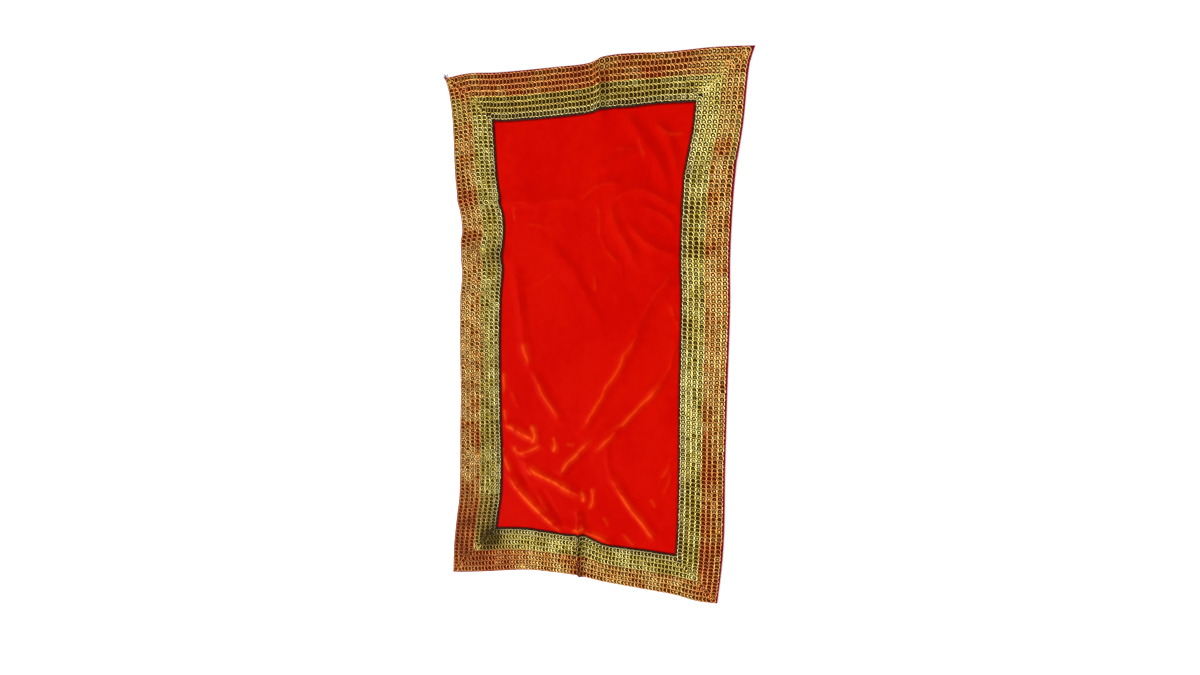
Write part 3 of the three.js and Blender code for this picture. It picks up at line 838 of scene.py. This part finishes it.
def make_sequins(name, side, inward_from, bare_mitre, finish, seed, patches, turned_patches, last_row_pale):
    """All sequins of one length of trim, as one mesh of separate closed discs."""
    chance = np.random.default_rng(seed)
    station, inward, row, over_mitre = sewn_places(side, inward_from, bare_mitre, chance)
    count = len(station)
    nudge = SEQUIN_STEP / 4
    middle = on_velvet(*trim_place(side, station, inward), TAPE_ABOVE + TAPE_THICKNESS)
    before = on_velvet(*trim_place(side, station - nudge, inward))
    after = on_velvet(*trim_place(side, station + nudge, inward))
    outside = on_velvet(*trim_place(side, station, inward - nudge))
    inside = on_velvet(*trim_place(side, station, inward + nudge))
    ahead = unit(after - before) * (-1 if side == "near" else 1)
    upward = unit(np.cross(ahead, inside - outside))
    upward *= np.sign(upward[:, 2])[:, None]
    aside = np.cross(upward, ahead)

    raised_ahead, raised_up = turn_pair(ahead, upward, chance.normal(SEQUIN_TILT, SEQUIN_UNEVEN, count))
    leaned_aside, leaned_up = turn_pair(aside, raised_up, chance.normal(0, SEQUIN_UNEVEN, count))
    turned_ahead, turned_aside = turn_pair(raised_ahead, leaned_aside, chance.uniform(0, 2 * math.pi, count))
    shape, shape_faces = sequin_shape()
    axes = np.stack([turned_ahead, turned_aside, leaned_up], axis=1)
    above = (SEQUIN_ABOVE + SEQUIN_LIFTED * over_mitre)[:, None]
    points = np.einsum("pk,nkc->npc", shape, axes) + (middle + upward * above)[:, None, :]
    faces = [tuple(n * len(shape) + p for p in face) for n in range(count) for face in shape_faces]
    piece = make_piece(name, points.reshape(-1, 3), faces, finish, smooth=False)

    x, y = middle[:, 0], middle[:, 1]
    # Rust, with painted shade where the patches pass 1, and brighter where they are negative, which along the
    # right side is painted light
    rust_and_shade = patch_strength(patches, x, y) + RUST_MOTTLE * uneven(x, y, MOTTLE_WAVE, MOTTLE_SEED)
    tone = chance.uniform(0, 1, count) - TONE_LOST * rust_and_shade
    # Painted highlight on the beads, in patches, weaker where rust and painted shade lie
    bead_highlight = chance.normal(BEAD_HIGHLIGHT, BEAD_HIGHLIGHT_UNEVEN, count) + patch_strength(BEAD_HIGHLIGHTS, x, y)
    turned = patch_strength(turned_patches, x, y) + chance.normal(0, TURNED_UNEVEN, count)
    values = {
        "tone": np.clip(tone, 0, 1),
        "rust_and_shade": np.clip(rust_and_shade + chance.normal(0, RUST_UNEVEN, count), 0, 1),
        # Painted shade, where the patches pass 1
        "deep_shade": np.clip(rust_and_shade - 1, 0, 1),
        "lit": CUP_LIT * chance.uniform(0, 1, count) ** LIT_SELDOM * np.clip(1 - rust_and_shade, 0, 1),
        "bead_highlight": np.clip(bead_highlight - BEAD_HIGHLIGHT_LOST * rust_and_shade, 0, 1),
        "turned": np.clip(turned, 0, 1),
        "pale": np.where(row == ROWS_OF_SEQUINS - 1, last_row_pale, 0.0),
    }
    for value_name, each in values.items():
        name_value(piece, value_name, np.repeat(each, len(shape)))
    name_value(piece, "shine", np.tile(ring_values("shine", 0, 0), count))
    name_value(piece, "bead", np.tile(ring_values("bead", 1, 0), count))
    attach(piece, "root")
    return piece


# How much of each colour the finish shows, and how it shines from the cup to the rim
TURNED_RANGE = (0.3, 0.7)
RIM_RANGE = (0.1, 0.85)
BEAD_RANGE = (0.2, 0.8)
RUSTY_SHARE = 0.85
DEEP_SHADE_SHARE = 0.75
CUP_METAL, RIM_METAL = 0.3, 0.7
CUP_ROUGH, RIM_ROUGH = 0.56, 0.18
WORN_ROUGH = 0.14
WORN_SCALE = 700
WORN_BUMP = 0.1
WORN_DEPTH = 0.1 * MM


def sequin_finish(name, paints):
    """Metallised sequins: a bright rim, a cup painted dark for its shade and a small bead, each disc its own
    tone.
    """
    finish = Finish(name, {"Specular IOR Level": 0.0})
    tone, rust_and_shade, bead = finish.named("tone"), finish.named("rust_and_shade"), finish.named("bead")
    rim = finish.blend(tone, paints["plain"], paints["bright"])
    rim = finish.blend(finish.between(finish.named("turned"), *TURNED_RANGE), rim, paints["turned"])
    rim = finish.blend(rust_and_shade * RUSTY_SHARE, rim, paints["rusty"])
    rim = finish.blend(finish.named("pale"), rim, paints["pale"])
    # The cup is painted dark for the shade in it, and a few cups take the rim's colour as painted light
    cup = finish.blend(rust_and_shade, paints["cup"], paints["rusty cup"])
    cup = finish.blend(finish.named("lit"), cup, rim)
    shine = finish.named("shine")
    # The rim's metal colour, brightest on its crest as a painted highlight, against the painted shade of the
    # cup
    metal = finish.blend(finish.between(shine, *RIM_RANGE), cup, rim)
    # Painted shade over rim and cup alike, in the pleat and at the near left corner
    metal = finish.blend(finish.named("deep_shade") * DEEP_SHADE_SHARE, metal, paints["deep_shade"])
    # The bead is painted bright as a highlight by the mask computed for it
    beads = finish.blend(finish.named("bead_highlight"), paints["dull bead"], paints["bead"])
    worn = finish.noise(WORN_SCALE, 2)
    finish.feed({
        "Base Color": finish.blend(finish.between(bead, *BEAD_RANGE), metal, beads),
        "Metallic": CUP_METAL + (RIM_METAL - CUP_METAL) * shine,
        "Roughness": CUP_ROUGH - (CUP_ROUGH - RIM_ROUGH) * shine + WORN_ROUGH * worn,
        "Normal": finish.bump(worn, WORN_BUMP, WORN_DEPTH),
    })
    return finish.material


NET_SCALE = 260
NET_SHARE = 0.6
NET_FIBRES = 300
NET_BUMP = 0.5
NET_DEPTH = 0.3 * MM


def tape_finish(name, dark, light):
    """Dark net tape, with the small crossed threads of its mesh."""
    finish = Finish(name, {"Roughness": 0.85, "Specular IOR Level": 0.2})
    threads = []
    for direction in ("X", "Y"):
        settings = {"wave_type": "BANDS", "bands_direction": direction, "wave_profile": "SIN"}
        sockets = {"Vector": finish.place(), "Scale": NET_SCALE}
        threads.append(finish.node("ShaderNodeTexWave", settings, sockets, output=1))
    net = threads[0] * 0.5 + threads[1] * 0.5
    lightness = net * NET_SHARE + finish.noise(NET_FIBRES) * (1 - NET_SHARE)
    finish.feed({
        "Base Color": finish.blend(lightness, dark, light),
        "Normal": finish.bump(net, NET_BUMP, NET_DEPTH),
    })
    return finish.material


# Soft patches where the sequins have gone redder and darker, in millimetres. Past 1 they are
# painted shade, in the pleat and at the near left corner, and a negative one makes the sequins
# brighter, which along the right side is painted light.
COPPER_PATCHES = [
    Patch(-160, -240, 30, 42, 1.2),
    Patch(-152, -284, 44, 30, 1.1),
    Patch(-110, -288, 30, 16, 0.6),
    Patch(-154, -128, 26, 14, 0.5),
    Patch(-100, 298, 50, 16, 1.0),
    Patch(-12, 290, 34, 22, 1.0),
    Patch(80, 296, 50, 16, 0.7),
    Patch(-160, 168, 20, 16, 0.7),
    Patch(-157, 117, 26, 12, 0.5),
    Patch(-158, 285, 16, 20, 0.4),
    Patch(140, 189, 16, 22, 0.4),
    Patch(150, 98, 26, 16, 0.5),
    Patch(146, 36, 14, 30, 0.8),
    Patch(148, -60, 14, 20, 0.4),
    Patch(142, -137, 18, 44, 0.8),
    Patch(148, -245, 20, 50, 0.9),
    Patch(-5, -280, 5, 30, 1.8),
    Patch(-60, -280, 20, 20, -0.3),
    Patch(156, 60, 30, 30, -0.7),
    Patch(150, 230, 20, 60, -0.2),
    Patch(150, -20, 24, 60, -0.5),
    Patch(-158, 20, 20, 90, -0.5),
    Patch(-158, -170, 20, 30, -0.3),
]
# The cup colours are painted shade, the deep colour is painted shade, and the bead colour is a painted
# highlight over the dull bead
COPPER_PAINTS = {
    "bright": paint(255, 208, 124),
    "plain": paint(224, 144, 58),
    "rusty": paint(216, 134, 76),
    "turned": paint(222, 192, 100),
    "pale": paint(226, 190, 150),
    "cup": paint(58, 22, 0),
    "rusty cup": paint(78, 10, 0),
    "deep_shade": paint(70, 16, 0),
    "dull bead": paint(84, 34, 0),
    "bead": paint(255, 222, 136),
}

# Patches where the copper sequins have turned as pale as the inner trim
COPPER_TURNED = [
    Patch(147, 262, 15, 40, 1.0),
    Patch(168, 200, 6, 60, 0.8),
    Patch(-164, 270, 20, 34, 0.8),
    Patch(-168, 200, 5, 30, 0.8),
    Patch(60, -272, 60, 9, 0.5),
]

OUTER_SEED = 11

copper = sequin_finish("copper_sequins", COPPER_PAINTS)
copper_tape = tape_finish("dark_copper_tape", paint(34, 12, 1), paint(62, 28, 6))

for number, side in enumerate(("near", "far", "left", "right")):
    trim_end = HEM_SHOWING + TRIM_WIDTH
    tape = make_tape(f"outer_tape_{side}", side, HEM_SHOWING, trim_end, 0, copper_tape)
    sequins = make_sequins(
        f"outer_sequins_{side}",
        side,
        HEM_SHOWING,
        bare_mitre=0,
        finish=copper,
        seed=OUTER_SEED + number,
        patches=COPPER_PATCHES,
        turned_patches=COPPER_TURNED,
        last_row_pale=0,
    )
    for piece in (tape, sequins):
        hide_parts(f"outer_trim_{side}")
    tape_length = side_length(side) - 2 * HEM_SHOWING
    TRIM_WIDTH * (tape_length - TRIM_WIDTH)


# The inner trim
# The same tape in pale green gold, sewn edge to edge with the outer one. Its last row has
# lost most of its colour, and the net shows as a dark ragged line next to the velvet.

TAPE_SHOWING = 1.3 * MM
TAPE_RAGGED = 0.6 * MM
TAPES_APART = 0.2 * MM
INNER_FROM = HEM_SHOWING + TRIM_WIDTH

# Soft patches where the gold sequins have gone darker, in millimetres. Past 1 they are painted shade, in the
# pleat and at the near left corner, and a negative one makes them brighter, which along the right side is
# painted light.
GOLD_PATCHES = [
    Patch(-100, 266, 50, 12, 1.0),
    Patch(-10, 270, 60, 14, 0.9),
    Patch(75, 272, 40, 10, 0.8),
    Patch(-113, 90, 16, 14, 1.0),
    Patch(-121, -124, 14, 16, 0.7),
    Patch(-122, -240, 16, 30, 1.5),
    Patch(-124, -258, 20, 16, 1.2),
    Patch(-136, -262, 14, 24, 0.9),
    Patch(122, 150, 14, 20, 0.5),
    Patch(124, 108, 14, 10, 0.7),
    Patch(123, 30, 14, 30, 0.6),
    Patch(128, -185, 12, 40, 0.6),
    Patch(110, -240, 34, 14, 0.7),
    Patch(-6, -255, 5, 16, 1.6),
    Patch(124, 60, 16, 30, -0.4),
    Patch(124, 220, 20, 50, -0.5),
    Patch(124, -80, 20, 60, -0.6),
    Patch(-130, 20, 16, 70, -0.1),
]
# The cup colours are painted shade, the deep colour is painted shade, and the bead colour is a painted
# highlight over the dull bead
GOLD_PAINTS = {
    "bright": paint(255, 236, 144),
    "plain": paint(210, 184, 76),
    "rusty": paint(200, 170, 88),
    "turned": paint(222, 158, 82),
    "pale": paint(206, 200, 160),
    "cup": paint(44, 32, 0),
    "rusty cup": paint(36, 20, 0),
    "deep_shade": paint(26, 20, 2),
    "dull bead": paint(64, 48, 0),
    "bead": paint(255, 240, 150),
}

# Patches where the gold sequins have turned as red as the outer trim
GOLD_TURNED = [
    Patch(-137, -20, 6, 110, 0.6),
    Patch(-137, -240, 10, 46, 0.9),
    Patch(-116, -270, 30, 8, 0.7),
]

INNER_SEED = 31

pale_gold = sequin_finish("pale_gold_sequins", GOLD_PAINTS)
olive_tape = tape_finish("dark_olive_tape", paint(22, 9, 0), paint(44, 24, 6))

for number, side in enumerate(("near", "far", "left", "right")):
    tape_start = INNER_FROM + TAPES_APART
    tape_end = BORDER + TAPE_SHOWING
    tape = make_tape(f"inner_tape_{side}", side, tape_start, tape_end, TAPE_RAGGED, olive_tape)
    sequins = make_sequins(
        f"inner_sequins_{side}",
        side,
        INNER_FROM,
        bare_mitre=2,
        finish=pale_gold,
        seed=INNER_SEED + number,
        patches=GOLD_PATCHES,
        turned_patches=GOLD_TURNED,
        last_row_pale=0.35,
    )
    for piece in (tape, sequins):
        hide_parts(f"inner_trim_{side}")
    tape_width = tape_end - tape_start
    tape_length = side_length(side) - 2 * INNER_FROM
    tape_width * (tape_length - tape_width)


# The frayed threads
# Cut ends of the velvet's own yarn, dark and pale, which stand out at the far left corner,
# where the hem has come undone. Each is one thin bent strand that starts inside the hem.

STRANDS = 9
STRAND_LENGTH = 9 * MM
STRAND_LENGTHS = (0.5, 1)
STRAND_FALLS = (0.2, 0.9)
STRAND_RADIUS = 0.3 * MM
STRAND_TIP = 0.5
STRAND_SIDES = 5
STRAND_STEPS = 8
STRAND_BEND = math.radians(70)
FRAY_SPREAD = math.radians(34)
FRAY_WAY = math.radians(128)
FRAY_INWARD = 1.6 * MM
FRAY_UNEVEN = 0.9 * MM
FRAY_SEED = 51
THREAD_DARK = paint(52, 18, 26)
THREAD_PALE = paint(150, 118, 112)
THREAD_PATCHES = 260
THREAD_RANGE = (0.4, 0.6)
FIBRE_SCALE = 1800
FIBRE_BUMP = 0.4
FIBRE_DEPTH = 0.1 * MM

thread = Finish("frayed_thread", {"Roughness": 0.9, "Specular IOR Level": 0.1})
paleness = thread.between(thread.noise(THREAD_PATCHES), *THREAD_RANGE)
thread.feed({
    "Base Color": thread.blend(paleness, THREAD_DARK, THREAD_PALE),
    "Normal": thread.bump(thread.noise(FIBRE_SCALE, 2), FIBRE_BUMP, FIBRE_DEPTH),
})

upright = np.array([0, 0, 1])
chance = np.random.default_rng(FRAY_SEED)
points, faces = [], []
for _ in range(STRANDS):
    across, from_end = FRAY_INWARD + np.abs(chance.normal(0, FRAY_UNEVEN, 2))
    place = on_velvet(np.array(across), np.array(CLOTH_LENGTH - from_end))
    way = FRAY_WAY + chance.normal(0, FRAY_SPREAD)
    bend = chance.uniform(-1, 1) * STRAND_BEND / STRAND_STEPS
    step = STRAND_LENGTH * chance.uniform(*STRAND_LENGTHS) / STRAND_STEPS
    fall = (place[2] - STRAND_RADIUS) * chance.uniform(*STRAND_FALLS) / STRAND_STEPS
    first = len(points)
    for i in range(STRAND_STEPS + 1):
        sideways = np.array([-math.sin(way), math.cos(way), 0])
        radius = STRAND_RADIUS * (STRAND_TIP if i in (0, STRAND_STEPS) else 1)
        for angle in np.arange(STRAND_SIDES) * 2 * math.pi / STRAND_SIDES:
            points.append(place + radius * (math.cos(angle) * sideways + math.sin(angle) * upright))
        place = place + np.array([step * math.cos(way), step * math.sin(way), -fall])
        way += bend
    last = len(points) - STRAND_SIDES
    for ring in range(first, last, STRAND_SIDES):
        for i in range(STRAND_SIDES):
            j = (i + 1) % STRAND_SIDES
            faces.append((ring + i, ring + j, ring + STRAND_SIDES + j, ring + STRAND_SIDES + i))
    faces.append(tuple(reversed(range(first, first + STRAND_SIDES))))
    faces.append(tuple(range(last, last + STRAND_SIDES)))
strands = make_piece("frayed_threads", np.array(points), faces, thread.material)
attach(strands, "root")
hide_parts("velvet_panel")


# The table and the light
# A plain white table under soft studio light. The main light is low on the left, a little to
# the near end, and rakes over the creases. A weaker one is high on the right, and the rest of
# the light comes from all round.

TABLE_SIZE = 12
TABLE_DROP = 0.3 * MM
TABLE_WHITE = (0.95, 0.95, 0.95, 1)
LIGHT_ALL_ROUND = 0.9
Light = namedtuple("Light", "name place size watts")
LIGHTS = [
    Light("main_light", (-3.8, -2.2, 2.2), 3.2, 230),
    Light("fill_light", (3.2, 1.0, 3.6), 4.0, 118),
]

table_finish = Finish("white_table", {
    "Base Color": TABLE_WHITE,
    "Roughness": 0.9,
    "Specular IOR Level": 0.1,
})
table_edges = np.array([(-1, -1, 0), (1, -1, 0), (1, 1, 0), (-1, 1, 0)]) * TABLE_SIZE / 2
table = make_piece("table", table_edges - np.array([0, 0, TABLE_DROP]), [(0, 1, 2, 3)], table_finish.material)

for light in LIGHTS:
    light_data = bpy.data.lights.new(light.name, "AREA")
    light_data.shape = "DISK"
    light_data.size = light.size
    light_data.energy = light.watts
    lamp = bpy.data.objects.new(light.name, light_data)
    lamp.location = light.place
    lamp.rotation_mode = "QUATERNION"
    lamp.rotation_quaternion = (-Vector(light.place)).to_track_quat("-Z", "Y")
    bpy.context.scene.collection.objects.link(lamp)

world = bpy.data.worlds.new("studio")
world.use_nodes = True
background = world.node_tree.nodes["Background"]
background.inputs["Color"].default_value = (1, 1, 1, 1)
background.inputs["Strength"].default_value = LIGHT_ALL_ROUND
bpy.context.scene.world = world
bpy.context.scene.view_settings.view_transform = "Standard"
